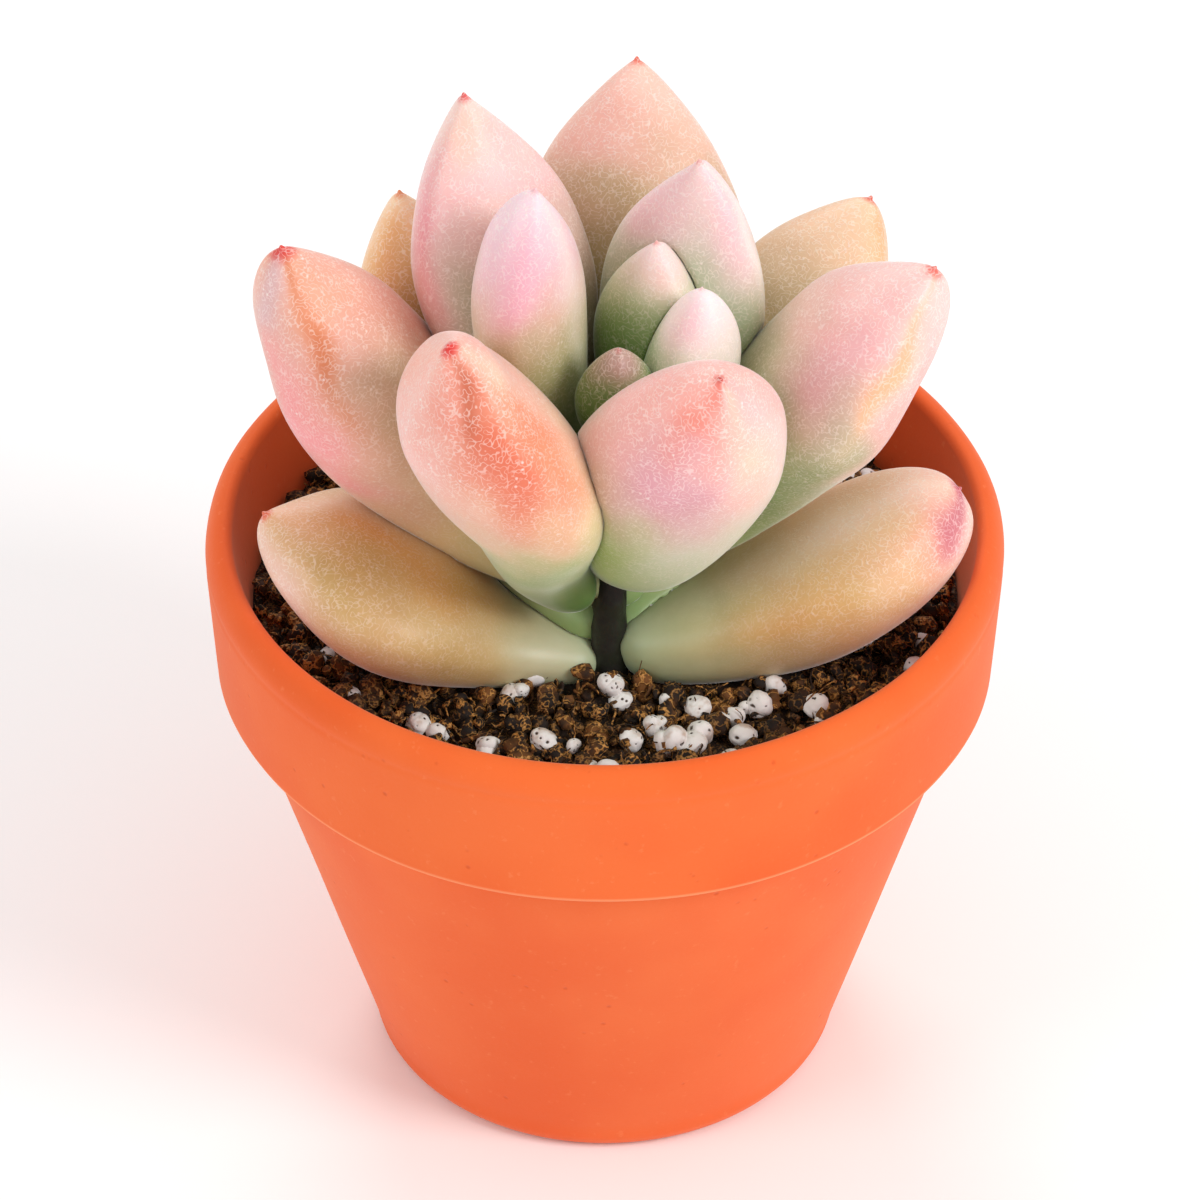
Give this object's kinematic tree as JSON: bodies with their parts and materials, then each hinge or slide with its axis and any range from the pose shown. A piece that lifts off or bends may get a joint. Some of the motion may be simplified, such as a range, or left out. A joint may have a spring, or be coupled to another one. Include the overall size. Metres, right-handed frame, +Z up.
{
  "type": "potted succulent",
  "caption": "Small rosette succulent with plump, pointed, blushed leaves in a banded, tapering terracotta pot of gritty soil; stands on its flat base.",
  "frame": {"origin": "centre of the pot's round base, on the surface that it stands on", "axes": "+Z up along the pot's own axis; +X to the right and +Y to the back, as seen from the side to which the stem stands nearer"},
  "size_m": [0.08, 0.08, 0.111],
  "materials": {
    "pot_clay": "matte unglazed terracotta",
    "soil": "rough crumbly potting mix",
    "stem_green": "satin green stem",
    "leaf_tan": "satin with a powdery bloom, peach to olive",
    "leaf_coral": "satin with a powdery bloom, coral to green",
    "leaf_pink": "satin with a powdery bloom, pink to mint green",
    "leaf_green": "satin with a powdery bloom, green with a pink tip",
    "perlite": "matte white, finely pitted"
  },
  "bodies": {
    "root": {"pot": "pot_clay", "soil_bed": "soil", "stem": "stem_green", "leaf_low_left": "leaf_tan", "leaf_low_right": "leaf_tan", "leaf_front_left": "leaf_coral", "leaf_front_right": "leaf_pink", "leaf_left": "leaf_coral", "leaf_right": "leaf_pink", "leaf_inner_left": "leaf_pink", "leaf_back_left": "leaf_pink", "leaf_core_right": "leaf_pink", "leaf_core_back": "leaf_green", "leaf_core_bud": "leaf_green", "leaf_inner_right": "leaf_pink", "leaf_back": "leaf_tan", "leaf_outer_back_left": "leaf_tan", "leaf_outer_back_right": "leaf_tan", "leaf_low_back_left": "leaf_tan", "leaf_low_back_right": "leaf_tan", "leaf_low_back": "leaf_tan", "leaf_mid_back_left": "leaf_tan", "leaf_mid_back_right": "leaf_tan", "perlite_grain_01": "perlite", "perlite_grain_02": "perlite", "perlite_grain_03": "perlite", "perlite_grain_04": "perlite", "perlite_grain_05": "perlite", "perlite_grain_06": "perlite", "perlite_grain_07": "perlite", "perlite_grain_08": "perlite", "perlite_grain_09": "perlite", "perlite_grain_10": "perlite", "perlite_grain_11": "perlite", "perlite_grain_12": "perlite"}
  },
  "joints": []
}
